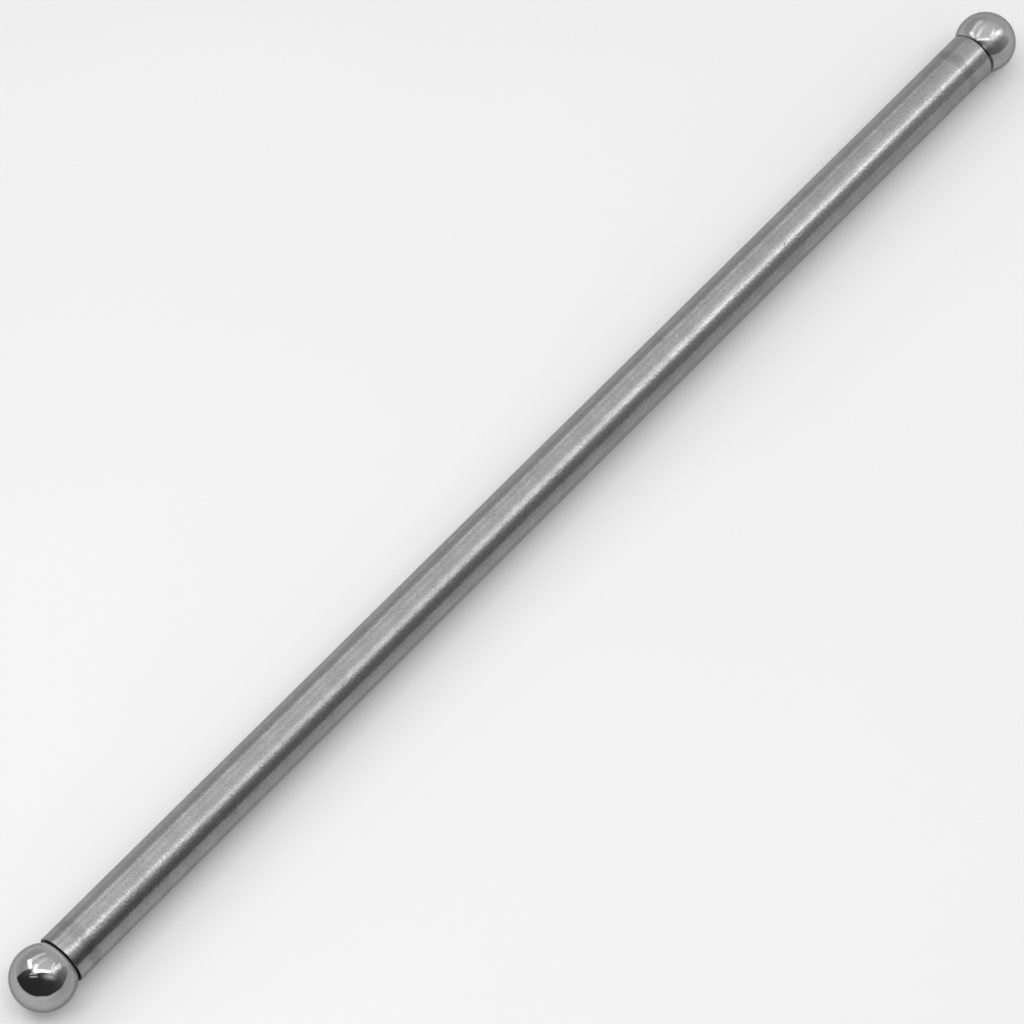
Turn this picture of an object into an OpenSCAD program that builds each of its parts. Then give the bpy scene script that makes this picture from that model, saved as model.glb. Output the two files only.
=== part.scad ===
// Engine pushrod: a drawn steel tube with a hardened steel ball seated in each mouth.
// The rod lies along +X, and the centre of the tappet ball is the origin.

/* [Rod] */
// Length over the two balls
rod_length = 184.2; // [120:0.1:260]

/* [Tube] */
// Outside diameter of the tube
tube_d = 6.5; // [5.6:0.1:7.4]
// Thickness of the tube wall
tube_wall = 1; // [0.9:0.05:1.5]
// Radius of the deburred edge round each end of the tube
tube_edge_r = 0.15; // [0.05:0.01:0.2]

/* [Balls] */
// Diameter of the ball that sits in the tappet
tappet_ball_d = 7.938; // [7.5:0.001:9.6]
// Diameter of the ball that sits in the rocker arm
rocker_ball_d = 7.938; // [7.5:0.001:9.6]
// Width of the ball seat in each mouth, from the bore outwards across the end face
seat_width = 0.42; // [0.1:0.02:0.6]

/* [Hidden] */
$fn = 128;

tube_r = tube_d / 2;
bore_r = tube_r - tube_wall;
seat_rim_r = bore_r + seat_width;
tappet_ball_r = tappet_ball_d / 2;
rocker_ball_r = rocker_ball_d / 2;
ball_spacing = rod_length - tappet_ball_r - rocker_ball_r;
tube_start = seat_rim_offset(tappet_ball_r);
tube_end = ball_spacing - seat_rim_offset(rocker_ball_r);
tube_length = tube_end - tube_start;

drawn_steel = [0.53, 0.53, 0.53];
polished_steel = [0.62, 0.62, 0.62];

// Distance from a ball's centre to the end face of the tube that it sits in
function seat_rim_offset(ball_r) = sqrt(pow(ball_r, 2) - pow(seat_rim_r, 2));

// Half section of the tube's wall, with the rod's axis along Y and the tappet end at Y = 0
module wall_section() {
  translate([bore_r, 0])
    square([tube_wall - tube_edge_r, tube_length]);
  translate([bore_r, tube_edge_r])
    square([tube_wall, tube_length - 2 * tube_edge_r]);
  for (edge = [tube_edge_r, tube_length - tube_edge_r])
    translate([tube_r - tube_edge_r, edge])
      circle(r = tube_edge_r);
}

// Ball centred at a distance along the rod from the origin
module ball(ball_r, distance) {
  translate([distance, 0, 0])
    sphere(r = ball_r);
}

module tube() {
  color(drawn_steel)
    difference() {
      translate([tube_start, 0, 0])
        rotate([0, 90, 0])
          rotate_extrude()
            wall_section();
      ball(tappet_ball_r, 0);
      ball(rocker_ball_r, ball_spacing);
    }
}

module tappet_ball() {
  color(polished_steel)
    ball(tappet_ball_r, 0);
}

module rocker_ball() {
  color(polished_steel)
    ball(rocker_ball_r, ball_spacing);
}

tube();
tappet_ball();
rocker_ball();
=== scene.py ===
"""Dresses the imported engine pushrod: a ground steel tube with a polished steel ball set in each mouth."""
import math

import bmesh
import bpy
from mathutils import Matrix, Vector


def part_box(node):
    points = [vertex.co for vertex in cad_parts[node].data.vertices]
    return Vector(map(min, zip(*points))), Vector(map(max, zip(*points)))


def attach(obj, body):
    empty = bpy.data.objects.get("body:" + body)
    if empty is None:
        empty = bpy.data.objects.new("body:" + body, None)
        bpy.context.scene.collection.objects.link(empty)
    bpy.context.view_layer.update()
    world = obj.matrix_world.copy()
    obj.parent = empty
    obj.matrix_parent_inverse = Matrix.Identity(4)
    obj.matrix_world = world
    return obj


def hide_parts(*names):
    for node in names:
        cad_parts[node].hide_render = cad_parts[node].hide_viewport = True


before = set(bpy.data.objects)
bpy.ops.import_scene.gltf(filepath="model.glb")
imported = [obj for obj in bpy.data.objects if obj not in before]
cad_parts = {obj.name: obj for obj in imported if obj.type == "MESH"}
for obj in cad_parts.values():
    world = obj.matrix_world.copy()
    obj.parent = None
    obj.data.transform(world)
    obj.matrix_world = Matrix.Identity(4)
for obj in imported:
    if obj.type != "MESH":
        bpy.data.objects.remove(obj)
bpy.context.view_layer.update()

MILLIMETRES = 1000.0


def seat_rim_r(ball_r, centre_x, end_x):
    """Radius of the ring where the tube's end face meets a ball."""
    return math.sqrt(ball_r ** 2 - (end_x - centre_x) ** 2)


# The rod's own sizes, in metres, read from the frame
tube_low, tube_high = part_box("tube")
tappet_low, tappet_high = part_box("tappet_ball")
rocker_low, rocker_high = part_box("rocker_ball")
TAPPET_CENTRE = (tappet_low + tappet_high) / 2
ROCKER_CENTRE = (rocker_low + rocker_high) / 2
ROD_MIDDLE = (TAPPET_CENTRE + ROCKER_CENTRE) / 2
BALL_SPACING = (ROCKER_CENTRE - TAPPET_CENTRE).length
TAPPET_BALL_R = (tappet_high.x - tappet_low.x) / 2
ROCKER_BALL_R = (rocker_high.x - rocker_low.x) / 2
TUBE_R = (tube_high.z - tube_low.z) / 2
TUBE_START = tube_low.x
TUBE_END = tube_high.x
TUBE_HALF_LENGTH = (TUBE_END - TUBE_START) / 2
BENCH_Z = min(tappet_low.z, rocker_low.z)
TAPPET_RIM_R = seat_rim_r(TAPPET_BALL_R, TAPPET_CENTRE.x, TUBE_START)
ROCKER_RIM_R = seat_rim_r(ROCKER_BALL_R, ROCKER_CENTRE.x, TUBE_END)

# The tube's section, in metres, and how finely the pieces are divided
TUBE_WALL = 0.001
TUBE_EDGE_R = 0.00006
BORE_R = TUBE_R - TUBE_WALL
TUBE_SIDES = 160
TUBE_STATIONS = 170
BORE_STATION_STEP = 10
EDGE_STEPS = 6
SEAT_STEPS = 5
BALL_CUTS = 47
CREASE_ANGLE = math.radians(35)


# Camera

IMAGE_PIXELS = 1024
FOCAL_PIXELS = 4225.4
SENSOR_WIDTH = 36.0
CAMERA_HEADING = math.radians(-49.3)
CAMERA_TILT = math.radians(90 - 58.65)
# From the middle of the rod, counted in spacings of the balls
CAMERA_OFFSET = Vector((-1.18365, -0.98714, 2.48511))


def set_up_camera():
    """A long lens that looks down the rod from above the tappet end."""
    lens = bpy.data.cameras.new("camera")
    lens.sensor_fit = "HORIZONTAL"
    lens.sensor_width = SENSOR_WIDTH
    lens.lens = SENSOR_WIDTH * FOCAL_PIXELS / IMAGE_PIXELS
    lens.clip_start = 0.01
    lens.clip_end = 20.0
    camera = bpy.data.objects.new("camera", lens)
    camera.location = ROD_MIDDLE + CAMERA_OFFSET * BALL_SPACING
    camera.rotation_euler = (CAMERA_TILT, 0.0, CAMERA_HEADING)
    bpy.context.collection.objects.link(camera)
    bpy.context.scene.camera = camera


# Shader nodes

def add(tree, kind, inputs=None, **settings):
    """A new node: settings are its own properties, and inputs are values or sockets for its sockets."""
    made = tree.nodes.new(kind)
    for name, value in settings.items():
        setattr(made, name, value)
    for socket, value in (inputs or {}).items():
        if isinstance(value, bpy.types.NodeSocket):
            tree.links.new(value, made.inputs[socket])
        else:
            made.inputs[socket].default_value = value
    return made


def maths(tree, operation, *values):
    """The result of a Math node."""
    return add(tree, "ShaderNodeMath", dict(enumerate(values)), operation=operation).outputs[0]


def total(tree, *values):
    """The sum of value sockets."""
    result = values[0]
    for value in values[1:]:
        result = maths(tree, "ADD", result, value)
    return result


def product(tree, *values):
    """The product of values or value sockets."""
    result = values[0]
    for value in values[1:]:
        result = maths(tree, "MULTIPLY", result, value)
    return result


def ramp(tree, value, from_low, from_high, to_low=0.0, to_high=1.0):
    """A smooth, clamped change of range."""
    sockets = {
        "Value": value,
        "From Min": from_low,
        "From Max": from_high,
        "To Min": to_low,
        "To Max": to_high,
    }
    return add(tree, "ShaderNodeMapRange", sockets, interpolation_type="SMOOTHSTEP").outputs["Result"]


def blended(tree, factor, first, second):
    """A mix of two values or value sockets."""
    return add(tree, "ShaderNodeMix", {"Factor": factor, "A": first, "B": second}).outputs["Result"]


# The Mix node's sockets share their names, so its colour sockets go by their place
MIX_COLOURS = (6, 7)
MIXED_COLOUR = 2


def tinted(tree, factor, first, second):
    """A mix of two colours or colour sockets."""
    inputs = dict(zip(MIX_COLOURS, (first, second)))
    made = add(tree, "ShaderNodeMix", {"Factor": factor, **inputs}, data_type="RGBA")
    return made.outputs[MIXED_COLOUR]


def grey(level):
    """A neutral colour of one linear level."""
    return (level, level, level, 1.0)


def vector_maths(tree, operation, first, second):
    """A Vector Math node's outputs."""
    return add(tree, "ShaderNodeVectorMath", {0: first, 1: second}, operation=operation).outputs


def length(tree, x, y):
    """The length of a flat vector."""
    flat = add(tree, "ShaderNodeCombineXYZ", {"X": x, "Y": y}).outputs[0]
    return add(tree, "ShaderNodeVectorMath", {0: flat}, operation="LENGTH").outputs["Value"]


def axes(tree, vector):
    """The three values of a vector."""
    return add(tree, "ShaderNodeSeparateXYZ", {"Vector": vector}).outputs


def stretched(tree, vector, scale):
    """The vector multiplied by a different factor along each axis."""
    return vector_maths(tree, "MULTIPLY", vector, scale)[0]


def noise(tree, vector, scale, detail=2.0, roughness=0.5):
    """A noise texture's value, about 0.5 on average."""
    sockets = {"Vector": vector, "Scale": scale, "Detail": detail, "Roughness": roughness}
    return add(tree, "ShaderNodeTexNoise", sockets).outputs["Fac"]


def wander(tree, position, scale, roughness, width):
    """A noise that swings about zero over a width, in millimetres."""
    swing = maths(tree, "SUBTRACT", noise(tree, position, scale, 3.0, roughness), 0.5)
    return maths(tree, "MULTIPLY", swing, width)


def bumped(tree, shader, height, strength, depth):
    """Raises the shader's surface by a height, where depth is in metres."""
    bump = add(tree, "ShaderNodeBump", {"Height": height, "Strength": strength, "Distance": depth})
    tree.links.new(bump.outputs[0], shader.inputs["Normal"])


def new_group(name, inputs, outputs):
    """An empty shader node group: its tree, its inputs, with Position first, and its output node."""
    tree = bpy.data.node_groups.new(name, "ShaderNodeTree")
    tree.interface.new_socket("Position", in_out="INPUT", socket_type="NodeSocketVector")
    for label in inputs:
        tree.interface.new_socket(label, in_out="INPUT", socket_type="NodeSocketFloat")
    for label in outputs:
        tree.interface.new_socket(label, in_out="OUTPUT", socket_type="NodeSocketFloat")
    return tree, tree.nodes.new("NodeGroupInput").outputs, tree.nodes.new("NodeGroupOutput")


def group_node(tree, group, inputs):
    """The outputs of a group placed in a material, with that material's own values."""
    return add(tree, "ShaderNodeGroup", inputs, node_tree=group).outputs


def put_out(tree, leave, values):
    """Links a group's results to its output node."""
    for label, value in values.items():
        tree.links.new(value, leave.inputs[label])


# Grain: scales are counts to the millimetre, and a stretch below 1 draws a pattern out that way
STROKE_STRETCH = (1.0, 0.45, 0.45)
STREAK_STRETCH = (0.05, 1.0, 1.0)
STREAK_SCALE = 1.6
CLOUD_SCALE = 0.35
CLOUD_RANGE = (0.3, 0.7)
FLECK_SCALE = 6.0
FLECK_RANGE = (0.25, 0.75)


def ground_grain_group():
    """Fine marks of grinding round the rod, with faint streaks along it and light and dark flecks."""
    inputs = ["Stroke Scale", "Speckle Scale", "Stroke Share", "Streak Depth"]
    tree, given, leave = new_group("ground_grain", inputs, ["Height", "Tone", "Flecks"])
    position = given["Position"]
    strokes = noise(tree, stretched(tree, position, STROKE_STRETCH), given["Stroke Scale"], detail=0.0)
    speckle = noise(tree, position, given["Speckle Scale"], detail=0.0)
    mixed = blended(tree, given["Stroke Share"], speckle, strokes)
    streaks = noise(tree, stretched(tree, position, STREAK_STRETCH), STREAK_SCALE, detail=1.0)
    cloud = noise(tree, position, CLOUD_SCALE, detail=3.0, roughness=0.6)
    flecks = noise(tree, position, FLECK_SCALE, detail=0.0)
    put_out(tree, leave, {
        "Height": total(tree, mixed, product(tree, streaks, given["Streak Depth"])),
        "Tone": ramp(tree, cloud, *CLOUD_RANGE),
        "Flecks": ramp(tree, flecks, *FLECK_RANGE),
    })
    return tree


# Marks: an edge runs from where a mark ends to where it is full, as shares of the pattern's cell
PIT_EDGE = (0.12, 0.04)
NICK_EDGE = (0.09, 0.04)
NICK_SCALE = 0.9
NICK_STRETCH = (0.9, 0.13, 0.13)
NICK_AXIS = (0.0, 0.3, 1.0)
NICK_SLANT = math.radians(24)


def scattered(tree, position, scale, edge, channel, chance):
    """Marks in some of the cells of a pattern, chosen by chance from one channel of the cells' colours."""
    cells = add(tree, "ShaderNodeTexVoronoi", {"Vector": position, "Scale": scale}).outputs
    chosen = add(tree, "ShaderNodeSeparateColor", {"Color": cells["Color"]}).outputs[channel]
    return product(tree, ramp(tree, cells["Distance"], *edge), maths(tree, "LESS_THAN", chosen, chance))


def handling_marks_group():
    """Small pits and short nicks from handling, as masks."""
    inputs = ["Pit Scale", "Pit Chance", "Nick Chance"]
    tree, given, leave = new_group("handling_marks", inputs, ["Pits", "Nicks"])
    position = given["Position"]
    turn = {"Vector": position, "Axis": NICK_AXIS, "Angle": NICK_SLANT}
    slanted = add(tree, "ShaderNodeVectorRotate", turn, rotation_type="AXIS_ANGLE").outputs[0]
    drawn_out = stretched(tree, slanted, NICK_STRETCH)
    put_out(tree, leave, {
        "Pits": scattered(tree, position, given["Pit Scale"], PIT_EDGE, "Red", given["Pit Chance"]),
        "Nicks": scattered(tree, drawn_out, NICK_SCALE, NICK_EDGE, "Green", given["Nick Chance"]),
    })
    return tree


# Traces of joining a ball to the tube, with painted shade in the seam: scales are counts to the millimetre,
# the rest is in millimetres
SEAM_RAGGED_SCALE = 2.2
SEAM_RAGGED_WIDTH = 0.15
SEAM_EDGE = (-0.08, 0.08)
FILM_EDGE = (1.05, 0.8)
TAPPET_RING = 2.65
ROCKER_RING = 3.9
RING_WAVER_SCALE = 0.7
RING_WAVER_WIDTH = 2.0
RING_EDGE = (1.0, 0.4)
SMOOTH_END_EDGE = (-0.2, 0.6)
END_FACE_EDGE = (-0.1, -0.03)
# How far a place is turned to the rod's sides, as a share of its distance from the axis
SIDES_TURN = (0.55, 0.95)
# Where the ball's film turns darker: towards the rod's -y side, which faces the camera
MINUS_Y_TURN = (-0.35, -0.85)


def seat_marks_and_shade_group():
    """What joining a ball leaves: a dark seam, which is painted crevice shade as well as weld oxide, a film
    on the ball, a smoother tube end and a faint ring.
    """
    inputs = ["Tappet Reach", "Rocker Reach", "Rocker Side Reach"]
    outputs = ["Seam", "Film", "Minus Y Side", "Ring", "Smooth End", "End Face"]
    tree, given, leave = new_group("seat_marks_and_shade", inputs, outputs)
    position = given["Position"]
    place = axes(tree, position)
    along = maths(tree, "SUBTRACT", place["X"], ROD_MIDDLE.x * MILLIMETRES)
    at_rocker = maths(tree, "GREATER_THAN", along, 0.0)
    past_end = maths(tree, "SUBTRACT", maths(tree, "ABSOLUTE", along), TUBE_HALF_LENGTH * MILLIMETRES)
    off_axis = length(tree, place["Y"], place["Z"])
    rim_r = blended(tree, at_rocker, TAPPET_RIM_R * MILLIMETRES, ROCKER_RIM_R * MILLIMETRES)
    from_rim = length(tree, past_end, maths(tree, "SUBTRACT", off_axis, rim_r))
    from_rim = total(tree, from_rim, wander(tree, position, SEAM_RAGGED_SCALE, 0.5, SEAM_RAGGED_WIDTH))
    to_left = maths(tree, "DIVIDE", place["Y"], off_axis)
    to_sides = ramp(tree, maths(tree, "ABSOLUTE", to_left), *SIDES_TURN)
    rocker_reach = blended(tree, to_sides, given["Rocker Reach"], given["Rocker Side Reach"])
    reach = blended(tree, at_rocker, given["Tappet Reach"], rocker_reach)
    ring_place = blended(tree, at_rocker, TAPPET_RING, ROCKER_RING)
    waver = wander(tree, position, RING_WAVER_SCALE, 0.65, RING_WAVER_WIDTH)
    from_ring = total(tree, past_end, waver, ring_place)
    put_out(tree, leave, {
        # The seam: painted shade in the crevice between ball and tube, with weld oxide, reaching wider at
        # the rocker end's sides
        "Seam": ramp(tree, maths(tree, "SUBTRACT", reach, from_rim), *SEAM_EDGE),
        "Film": ramp(tree, from_rim, *FILM_EDGE),
        # The film is darker towards the rod's -y side
        "Minus Y Side": ramp(tree, to_left, *MINUS_Y_TURN),
        "Ring": ramp(tree, maths(tree, "ABSOLUTE", from_ring), *RING_EDGE),
        "Smooth End": ramp(tree, from_ring, *SMOOTH_END_EDGE),
        "End Face": ramp(tree, past_end, *END_FACE_EDGE),
    })
    return tree


def start_material(name):
    """A material with only its Principled BSDF and output, and the position on the rod in millimetres."""
    material = bpy.data.materials.new(name)
    material.use_nodes = True
    tree = material.node_tree
    tree.nodes.clear()
    shader = add(tree, "ShaderNodeBsdfPrincipled")
    add(tree, "ShaderNodeOutputMaterial", {"Surface": shader.outputs[0]})
    place = add(tree, "ShaderNodeTexCoord").outputs["Object"]
    position = add(tree, "ShaderNodeVectorMath", {0: place, "Scale": MILLIMETRES}, operation="SCALE")
    return material, tree, shader, position.outputs[0]


# Steel: linear levels of grey, and how dark a metal's edge turns
DRAWN_STEEL = 0.385
DRAWN_STEEL_DULL = 0.28
DRAWN_STEEL_RING = 0.215
DRAWN_STEEL_EDGE = 0.65
POLISHED_STEEL = 0.43
POLISHED_STEEL_DULL = 0.39
POLISHED_STEEL_EDGE = 0.5
PIT_DARK = 0.10
# Painted shade in the seam's crevice, with weld oxide
SEAM_SHADE_AND_OXIDE = 0.08
SEAT_FILM = 0.42
# The film's grey towards the rod's -y side
SEAT_FILM_MINUS_Y = 0.24

# The tube's finish
# How far the seam's painted shade and oxide reach on the tube, in millimetres from the rim
TUBE_SEAM_REACH = 0.54
TUBE_FLECK_SHARE = 0.55
TUBE_RING_STRENGTH = 0.5
TUBE_DULL_ROUGHNESS = 0.26
TUBE_BRIGHT_ROUGHNESS = 0.22
END_FACE_ROUGHER = 0.2
SMOOTH_END_GRAIN = 0.35
TUBE_MARK_HEIGHT = -0.5
TUBE_GRAIN_STRENGTH = 1.0
TUBE_GRAIN_DEPTH = 0.000025

# The balls' finish
# How far the seam's painted shade and oxide reach on the balls, in millimetres from the rim, wider at the
# rocker end's sides
TAPPET_SEAM_REACH = 0.26
ROCKER_SEAM_REACH = 0.50
ROCKER_SEAM_SIDE_REACH = 0.74
TAPPET_ROUGHNESS = 0.07
ROCKER_ROUGHNESS = 0.15
TAPPET_FILM = 0.85
ROCKER_FILM = 0.0
BALL_FLECK_SHARE = 0.5
BALL_PIT_STRENGTH = 0.5
BALL_DULL_ROUGHER = 0.03
FILM_ROUGHER = 0.5
BALL_NICK_DEPTH = 0.3
BALL_GRAIN_STRENGTH = 0.5
BALL_GRAIN_DEPTH = 0.00003


def drawn_steel(grain, marks, seat_and_shade):
    """The tube: ground steel of medium grey, with a soft sheen."""
    material, tree, shader, position = start_material("drawn_steel")
    ground = group_node(tree, grain, {
        "Position": position,
        "Stroke Scale": 3.4,
        "Speckle Scale": 3.2,
        "Stroke Share": 0.5,
        "Streak Depth": 0.25,
    })
    worn = group_node(tree, marks, {
        "Position": position,
        "Pit Scale": 0.8,
        "Pit Chance": 0.10,
        "Nick Chance": 0.06,
    })
    seat = group_node(tree, seat_and_shade, {
        "Position": position,
        "Tappet Reach": TUBE_SEAM_REACH,
        "Rocker Reach": TUBE_SEAM_REACH,
        "Rocker Side Reach": TUBE_SEAM_REACH,
    })
    tone = blended(tree, TUBE_FLECK_SHARE, ground["Tone"], ground["Flecks"])
    colour = tinted(tree, tone, grey(DRAWN_STEEL_DULL), grey(DRAWN_STEEL))
    colour = tinted(tree, product(tree, seat["Ring"], TUBE_RING_STRENGTH), colour, grey(DRAWN_STEEL_RING))
    colour = tinted(tree, worn["Pits"], colour, grey(PIT_DARK))
    # Painted shade in the seam's crevice, with weld oxide
    colour = tinted(tree, seat["Seam"], colour, grey(SEAM_SHADE_AND_OXIDE))
    tree.links.new(colour, shader.inputs["Base Color"])
    shader.inputs["Metallic"].default_value = 1.0
    shader.inputs["Specular Tint"].default_value = grey(DRAWN_STEEL_EDGE)
    rough = ramp(tree, ground["Tone"], 0.0, 1.0, TUBE_DULL_ROUGHNESS, TUBE_BRIGHT_ROUGHNESS)
    rough = total(tree, rough, product(tree, seat["End Face"], END_FACE_ROUGHER))
    tree.links.new(rough, shader.inputs["Roughness"])
    grain_left = ramp(tree, seat["Smooth End"], 0.0, 1.0, 1.0, SMOOTH_END_GRAIN)
    cut = product(tree, total(tree, worn["Pits"], worn["Nicks"]), TUBE_MARK_HEIGHT)
    height = total(tree, product(tree, ground["Height"], grain_left), cut)
    bumped(tree, shader, height, TUBE_GRAIN_STRENGTH, TUBE_GRAIN_DEPTH)
    return material


def polished_steel(name, smoothest, film, grain, marks, seat_and_shade):
    """A ball: hardened steel, polished almost to a mirror. A matt film may lie beside its seat."""
    material, tree, shader, position = start_material(name)
    ground = group_node(tree, grain, {
        "Position": position,
        "Stroke Scale": 1.5,
        "Speckle Scale": 1.2,
        "Stroke Share": 0.2,
        "Streak Depth": 0.0,
    })
    worn = group_node(tree, marks, {
        "Position": position,
        "Pit Scale": 0.9,
        "Pit Chance": 0.05,
        "Nick Chance": 0.1,
    })
    seat = group_node(tree, seat_and_shade, {
        "Position": position,
        "Tappet Reach": TAPPET_SEAM_REACH,
        "Rocker Reach": ROCKER_SEAM_REACH,
        "Rocker Side Reach": ROCKER_SEAM_SIDE_REACH,
    })
    tone = blended(tree, BALL_FLECK_SHARE, ground["Tone"], ground["Flecks"])
    colour = tinted(tree, tone, grey(POLISHED_STEEL_DULL), grey(POLISHED_STEEL))
    colour = tinted(tree, product(tree, worn["Pits"], BALL_PIT_STRENGTH), colour, grey(PIT_DARK))
    rough = ramp(tree, ground["Tone"], 0.0, 1.0, smoothest + BALL_DULL_ROUGHER, smoothest)
    shader.inputs["Metallic"].default_value = 1.0
    shader.inputs["Specular Tint"].default_value = grey(POLISHED_STEEL_EDGE)
    if film > 0:
        filmed = product(tree, seat["Film"], film)
        # The film turns darker towards the rod's -y side
        film_colour = tinted(tree, seat["Minus Y Side"], grey(SEAT_FILM), grey(SEAT_FILM_MINUS_Y))
        colour = tinted(tree, filmed, colour, film_colour)
        rough = total(tree, rough, product(tree, filmed, FILM_ROUGHER))
        tree.links.new(maths(tree, "SUBTRACT", 1.0, filmed), shader.inputs["Metallic"])
    # Painted shade in the seam's crevice, with weld oxide
    colour = tinted(tree, seat["Seam"], colour, grey(SEAM_SHADE_AND_OXIDE))
    tree.links.new(colour, shader.inputs["Base Color"])
    tree.links.new(rough, shader.inputs["Roughness"])
    height = maths(tree, "SUBTRACT", ground["Height"], product(tree, worn["Nicks"], BALL_NICK_DEPTH))
    bumped(tree, shader, height, BALL_GRAIN_STRENGTH, BALL_GRAIN_DEPTH)
    return material


# Meshes of the rod's pieces

def mouth_section(end_x, inward, ball_r, centre_x, rim_r):
    """Points (x, r) of one mouth, from the outer wall over the edge and end face and down the seat."""
    points = []
    for step in range(EDGE_STEPS + 1):
        turn = math.pi / 2 * step / EDGE_STEPS
        x = end_x + inward * TUBE_EDGE_R * (1 - math.sin(turn))
        points.append((x, TUBE_R - TUBE_EDGE_R + TUBE_EDGE_R * math.cos(turn)))
    for step in range(SEAT_STEPS + 1):
        r = rim_r + (BORE_R - rim_r) * step / SEAT_STEPS
        points.append((centre_x + inward * math.sqrt(ball_r ** 2 - r ** 2), r))
    return points


def tube_section():
    """The closed outline of the tube's wall, as points (x, r)."""
    near = mouth_section(TUBE_START, 1, TAPPET_BALL_R, TAPPET_CENTRE.x, TAPPET_RIM_R)
    far = mouth_section(TUBE_END, -1, ROCKER_BALL_R, ROCKER_CENTRE.x, ROCKER_RIM_R)
    first = near[0][0]
    last = far[0][0]
    inner_first = near[-1][0]
    inner_last = far[-1][0]
    share = [n / TUBE_STATIONS for n in range(1, TUBE_STATIONS)]
    outer_wall = [(first + (last - first) * s, TUBE_R) for s in share]
    bore_wall = [(inner_last + (inner_first - inner_last) * s, BORE_R) for s in share[::BORE_STATION_STEP]]
    return list(reversed(near)) + outer_wall + far + bore_wall


def made_object(name, form, material):
    """An object from a bmesh, in one material."""
    mesh = bpy.data.meshes.new(name)
    form.to_mesh(mesh)
    form.free()
    mesh.materials.append(material)
    made = bpy.data.objects.new(name, mesh)
    bpy.context.collection.objects.link(made)
    return made


def smooth_piece(name, form, material):
    """A piece of the rod from a bmesh, smooth shaded."""
    bmesh.ops.recalc_face_normals(form, faces=form.faces)
    for face in form.faces:
        face.smooth = True
    return made_object(name, form, material)


def make_tube(material):
    """The tube, turned from its section about the rod's axis, with its corners left sharp."""
    form = bmesh.new()
    rings = []
    for x, r in tube_section():
        ring = []
        for side in range(TUBE_SIDES):
            turn = 2 * math.pi * side / TUBE_SIDES
            ring.append(form.verts.new((x, r * math.sin(turn), r * math.cos(turn))))
        rings.append(ring)
    for here, after in zip(rings, rings[1:] + rings[:1]):
        for side in range(TUBE_SIDES):
            other = (side + 1) % TUBE_SIDES
            form.faces.new((here[side], here[other], after[other], after[side]))
    tube = smooth_piece("ground_tube", form, material)
    tube.data.set_sharp_from_angle(angle=CREASE_ANGLE)
    return tube


def make_ball(name, centre, radius, material):
    """A ball of six even grids, drawn out on to the sphere."""
    form = bmesh.new()
    bmesh.ops.create_cube(form, size=2.0)
    bmesh.ops.subdivide_edges(form, edges=form.edges[:], cuts=BALL_CUTS, use_grid_fill=True)
    for corner in form.verts:
        spread = Vector([math.tan(value * math.pi / 4) for value in corner.co])
        corner.co = centre + spread.normalized() * radius
    return smooth_piece(name, form, material)


# Bench, studio card and lamps

AWAY = Vector((-math.sin(CAMERA_HEADING), math.cos(CAMERA_HEADING), 0.0))
RIGHT = Vector((math.cos(CAMERA_HEADING), math.sin(CAMERA_HEADING), 0.0))
UP = Vector((0.0, 0.0, 1.0))

# The bench's paper: its linear level, its scales to the millimetre, and its grain
BENCH_LEVEL = 0.80
BENCH_MOTTLE = 0.01
PAPER_CLOUD_SCALE = 0.02
PAPER_GRAIN_SCALE = 2.0
PAPER_GRAIN_RANGE = (0.3, 0.7)
PAPER_ROUGHNESS = (0.75, 0.85)
PAPER_GRAIN_STRENGTH = 0.1
PAPER_GRAIN_DEPTH = 0.00005

# The room: linear levels, and the directions over which they change, as shares of a unit
SKIRTING_LEVEL = 0.75
WALL_LEVEL = 0.60
CEILING_LEVEL = 1.08
END_WALL_LIFT = 0.15
SKIRTING_RISE = (0.0, 0.22)
CEILING_RISE = (0.46, 0.95)
END_WALL_TURN = (0.55, 0.85)

# Places in the studio, in metres
LIGHT_HEIGHT = 0.32
BENCH_REACH = 4.0
CARD_AWAY = -0.043
CARD_FOOT = 0.002
CARD_LEAN = 0.06
CARD_LAMP_GAP = 0.01
HIGH_SPOT_PLACE = (0.15, CARD_AWAY, 0.23)
LOW_SPOT_PLACE = (0.065, CARD_AWAY, 0.118)
SHADE_LIFT = 0.0005
SHADE_CORNERS = [(-0.03, -0.3), (0.21, -0.3), (0.21, -0.005), (-0.03, -0.005)]

# The card's plan from left to right: metres to the right, metres away, and how high its top is there
CARD_PLAN = [
    (-0.225, 0.0, LIGHT_HEIGHT),
    (-0.19, CARD_AWAY, LIGHT_HEIGHT),
    (0.30, CARD_AWAY, 0.26),
    (0.30, 0.135, 0.125),
    (0.32, 0.215, 0.11),
]

# Light on the card: from one place to another, in millimetres, and the levels there
RIGHT_GLOW = (-30.0, 250.0, 0.0, 0.17)
WALL_GLOW = (-30.0, 130.0, 0.0, 0.22)
WALL_END_GLOW = (115.0, 200.0, 0.0, 0.42)
TOP_GLOW = (10.0, 320.0, 0.045, 0.13)
HIGH_SPOT = (140.0, 20.0, 0.0, 0.5)
LOW_SPOT = (75.0, 5.0, 0.0, 0.75)

# The shade on the bench: its share of black, and where it starts and is full, in millimetres
SHADE_DEPTH = 0.27
SHADE_AT_TAPPET = (-25.0, 5.0)
SHADE_AT_ROCKER = (205.0, 165.0)
SHADE_BESIDE_ROD = (-4.0, -15.0)
SHADE_OUTSIDE = (-300.0, -120.0)


def in_studio(right, away, up):
    """A point measured from the tappet ball, along the camera's right, away from the camera and up."""
    return TAPPET_CENTRE + RIGHT * right + AWAY * away + UP * up


def beside_rod(along, aside, up):
    """A point measured from the tappet ball, along the rod, to its side and up."""
    return TAPPET_CENTRE + Vector((along, aside, up))


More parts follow.
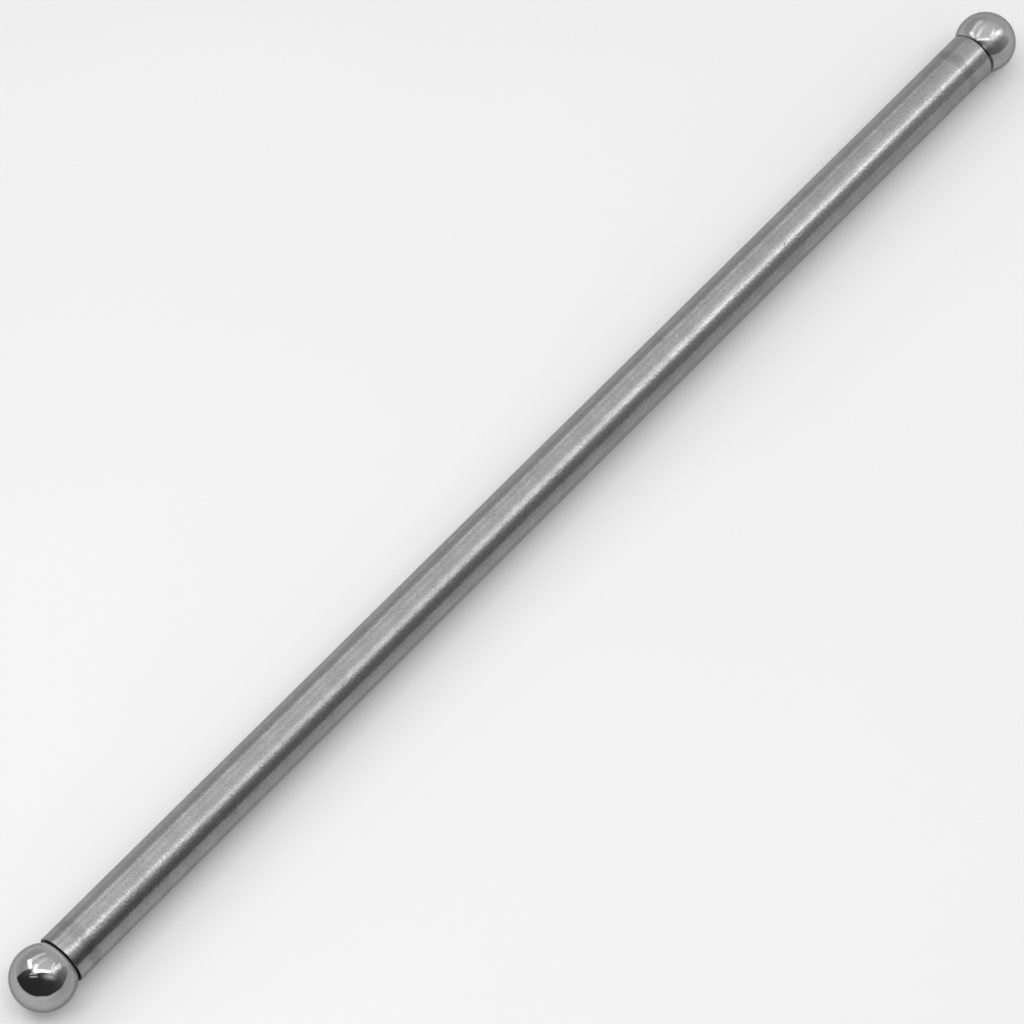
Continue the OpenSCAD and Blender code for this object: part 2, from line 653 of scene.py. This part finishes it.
def make_sheets(name, runs, material):
    """Flat studio sheets, each given by its four corners, as one object that isn't part of the rod."""
    form = bmesh.new()
    for corners in runs:
        form.faces.new([form.verts.new(corner) for corner in corners])
    sheet = made_object(name, form, material)
    return sheet


def only_mirrored(sheet):
    """Leaves a sheet to be seen in the steel alone."""
    sheet.visible_camera = False
    sheet.visible_diffuse = False
    sheet.visible_shadow = False


def bench_paper():
    """Pale matt paper with a faint grain."""
    material, tree, shader, position = start_material("bench_paper")
    cloud = noise(tree, position, PAPER_CLOUD_SCALE, detail=3.0)
    colour = tinted(tree, cloud, grey(BENCH_LEVEL - BENCH_MOTTLE), grey(BENCH_LEVEL + BENCH_MOTTLE))
    tree.links.new(colour, shader.inputs["Base Color"])
    grain = noise(tree, position, PAPER_GRAIN_SCALE, detail=3.0)
    tree.links.new(ramp(tree, grain, *PAPER_GRAIN_RANGE, *PAPER_ROUGHNESS), shader.inputs["Roughness"])
    bumped(tree, shader, grain, PAPER_GRAIN_STRENGTH, PAPER_GRAIN_DEPTH)
    return material


def black_matt(name):
    """A material that sends back no light, to be lit or thinned by its user."""
    material, tree, shader, position = start_material(name)
    shader.inputs["Base Color"].default_value = grey(0.0)
    shader.inputs["Roughness"].default_value = 1.0
    shader.inputs["Specular IOR Level"].default_value = 0.0
    return material, tree, shader, position


def card_in_shade():
    """The dark side of the room: darkest low on the left, and greyer to the right and towards the top."""
    material, tree, shader, position = black_matt("card_in_shade")
    rightward = vector_maths(tree, "DOT_PRODUCT", position, tuple(RIGHT))["Value"]
    onward = vector_maths(tree, "DOT_PRODUCT", position, tuple(AWAY))["Value"]
    high_middle = in_studio(*HIGH_SPOT_PLACE) * MILLIMETRES
    low_middle = in_studio(*LOW_SPOT_PLACE) * MILLIMETRES
    from_high_spot = vector_maths(tree, "DISTANCE", position, tuple(high_middle))["Value"]
    from_low_spot = vector_maths(tree, "DISTANCE", position, tuple(low_middle))["Value"]
    level = total(
        tree,
        ramp(tree, rightward, *RIGHT_GLOW),
        ramp(tree, onward, *WALL_GLOW),
        ramp(tree, onward, *WALL_END_GLOW),
        ramp(tree, axes(tree, position)["Z"], *TOP_GLOW),
        ramp(tree, from_high_spot, *HIGH_SPOT),
        ramp(tree, from_low_spot, *LOW_SPOT),
    )
    tree.links.new(level, shader.inputs["Emission Color"])
    shader.inputs["Emission Strength"].default_value = 1.0
    material.cycles.emission_sampling = "NONE"
    return material


def bench_shade():
    """A faint shade over the bench on the rod's right, which fades out at its edges."""
    material, tree, shader, position = black_matt("bench_shade")
    place = axes(tree, position)
    shade = product(
        tree,
        ramp(tree, place["X"], *SHADE_AT_TAPPET),
        ramp(tree, place["X"], *SHADE_AT_ROCKER),
        ramp(tree, place["Y"], *SHADE_BESIDE_ROD),
        ramp(tree, place["Y"], *SHADE_OUTSIDE),
        SHADE_DEPTH,
    )
    tree.links.new(shade, shader.inputs["Alpha"])
    return material


def make_bench():
    """The bench top that the rod lies on."""
    corners = []
    for x, y in ((-1, -1), (1, -1), (1, 1), (-1, 1)):
        corners.append((ROD_MIDDLE.x + x * BENCH_REACH, y * BENCH_REACH, BENCH_Z))
    make_sheets("bench_top", [corners], bench_paper())


def make_card():
    """The dark side of the room, which only the steel mirrors. Its left end leans away at the top."""
    runs = []
    for (right_a, away_a, top_a), (right_b, away_b, top_b) in zip(CARD_PLAN, CARD_PLAN[1:]):
        runs.append([
            in_studio(right_a, away_a, CARD_FOOT),
            in_studio(right_b, away_b, CARD_FOOT),
            in_studio(right_b, away_b, top_b),
            in_studio(right_a, away_a, top_a),
        ])
    runs[0][3] = runs[0][3] + AWAY * CARD_LEAN
    only_mirrored(make_sheets("studio_card", runs, card_in_shade()))


def make_shade():
    """The shade on the bench, which only the steel mirrors."""
    up = BENCH_Z - TAPPET_CENTRE.z + SHADE_LIFT
    corners = [beside_rod(along, aside, up) for along, aside in SHADE_CORNERS]
    only_mirrored(make_sheets("studio_shade", [corners], bench_shade()))


def pale_room():
    """The room: pale walls, lighter past the rocker end, with a lighter ceiling."""
    world = bpy.data.worlds.new("pale_room")
    world.use_nodes = True
    world.cycles.sampling_method = "NONE"
    tree = world.node_tree
    heading = axes(tree, add(tree, "ShaderNodeTexCoord").outputs["Generated"])
    level = total(
        tree,
        ramp(tree, heading["Z"], *SKIRTING_RISE, SKIRTING_LEVEL, WALL_LEVEL),
        ramp(tree, heading["X"], *END_WALL_TURN, 0.0, END_WALL_LIFT),
        ramp(tree, heading["Z"], *CEILING_RISE, 0.0, CEILING_LEVEL - WALL_LEVEL),
    )
    tree.links.new(level, tree.nodes["Background"].inputs["Strength"])
    tree.nodes["Background"].inputs["Color"].default_value = grey(1.0)
    bpy.context.scene.world = world


def light_bar(name, start, end, width, level, facing=None, aim=None, spread=180.0, shape="RECTANGLE"):
    """A flat, even bar of light between two points, which faces a direction or aims at a point."""
    middle = (start + end) / 2
    lamp = bpy.data.lights.new(name, "AREA")
    lamp.shape = shape
    lamp.size = (end - start).length
    lamp.size_y = width
    lamp.spread = math.radians(spread)
    half = math.radians(spread) / 2
    narrowing = 1 - half / math.tan(half) if spread < 180 else 1.0
    lamp.energy = level * math.pi * lamp.size * lamp.size_y * narrowing
    bar = bpy.data.objects.new(name, lamp)
    face = (facing if aim is None else aim - middle).normalized()
    run = end - start
    along = (run - face * run.dot(face)).normalized()
    turned = Matrix((along, along.cross(face), -face)).transposed()
    bar.matrix_world = Matrix.Translation(middle) @ turned.to_4x4()
    bar.visible_camera = False
    bpy.context.collection.objects.link(bar)


def light_overhead():
    """A bracket of light bars over the rod, with longer bars along it."""
    up = LIGHT_HEIGHT
    light_bar(
        "front_bar", in_studio(-0.14, -0.021, up), in_studio(0.18, -0.023, up),
        width=0.083, level=2.85, facing=-UP - AWAY)
    light_bar(
        "left_bar", in_studio(-0.115, 0.02, up), in_studio(-0.105, 0.125, up),
        width=0.06, level=2.4, aim=TAPPET_CENTRE, spread=60.0)
    light_bar(
        "right_bar", in_studio(0.19, 0.03, up), in_studio(0.29, 0.24, up),
        width=0.05, level=0.72, facing=-UP)
    light_bar(
        "left_long_bar", beside_rod(-0.02, 0.123, up), beside_rod(0.30, 0.132, up),
        width=0.07, level=0.26, facing=-UP)
    light_bar(
        "left_long_beam", beside_rod(-0.089, 0.111, up), beside_rod(0.207, 0.14, up),
        width=0.04, level=1.1, aim=ROCKER_CENTRE, spread=60.0)
    light_bar(
        "right_long_bar", beside_rod(0.13, -0.176, up), beside_rod(0.70, -0.205, up),
        width=0.10, level=0.86, facing=-UP)
    light_bar(
        "right_far_bar", beside_rod(0.42, -0.27, up), beside_rod(0.70, -0.29, up),
        width=0.13, level=0.65, facing=-UP)
    light_bar(
        "right_glow", beside_rod(0.28, -0.188, up), beside_rod(0.45, -0.192, up),
        width=0.10, level=1.25, aim=ROCKER_CENTRE, spread=42.0, shape="ELLIPSE")
    light_bar(
        "right_bar_glow", in_studio(0.235, 0.10, up), in_studio(0.255, 0.145, up),
        width=0.045, level=1.2, aim=ROCKER_CENTRE, spread=42.0, shape="ELLIPSE")


def light_walls():
    """Bright strips on the left wall, and two small lamps in front of the card."""
    light_bar(
        "left_strip", in_studio(-0.245, 0.07, 0.345), in_studio(-0.225, 0.25, 0.2),
        width=0.085, level=2.4, aim=TAPPET_CENTRE, spread=100.0)
    line_start = beside_rod(0.0, 0.28, 0.254)
    line_end = beside_rod(0.40, 0.28, 0.254)
    light_bar(
        "left_wall_line", line_start, line_end,
        width=0.08, level=0.68, facing=TAPPET_CENTRE - line_start)
    lamp_away = CARD_AWAY + CARD_LAMP_GAP
    high_lamp = in_studio(-0.083, lamp_away, 0.16)
    low_lamp = in_studio(-0.041, lamp_away, 0.079)
    for name, middle, half_length, width, level in (
        ("room_lamp_high", high_lamp, 0.046, 0.02, 0.9),
        ("room_lamp_low", low_lamp, 0.0225, 0.0074, 0.8),
    ):
        start = middle - RIGHT * half_length
        end = middle + RIGHT * half_length
        light_bar(name, start, end, width, level, facing=AWAY - UP)


# The rod, put together

def dress_rod():
    """Makes the three pieces that stand for the frame's nodes."""
    effects = (ground_grain_group(), handling_marks_group(), seat_marks_and_shade_group())
    tube_steel = drawn_steel(*effects)
    tappet_steel = polished_steel("tappet_steel", TAPPET_ROUGHNESS, TAPPET_FILM, *effects)
    rocker_steel = polished_steel("rocker_steel", ROCKER_ROUGHNESS, ROCKER_FILM, *effects)
    tube = make_tube(tube_steel)
    tappet = make_ball("tappet_end_ball", TAPPET_CENTRE, TAPPET_BALL_R, tappet_steel)
    rocker = make_ball("rocker_end_ball", ROCKER_CENTRE, ROCKER_BALL_R, rocker_steel)
    for piece, node, finish in (
        (tube, "tube", "drawn_steel"),
        (tappet, "tappet_ball", "polished_steel"),
        (rocker, "rocker_ball", "polished_steel"),
    ):
        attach(piece, "root")
        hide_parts(node)


set_up_camera()
dress_rod()
make_bench()
make_card()
make_shade()
pale_room()
light_overhead()
light_walls()
bpy.context.scene.view_settings.view_transform = "Standard"
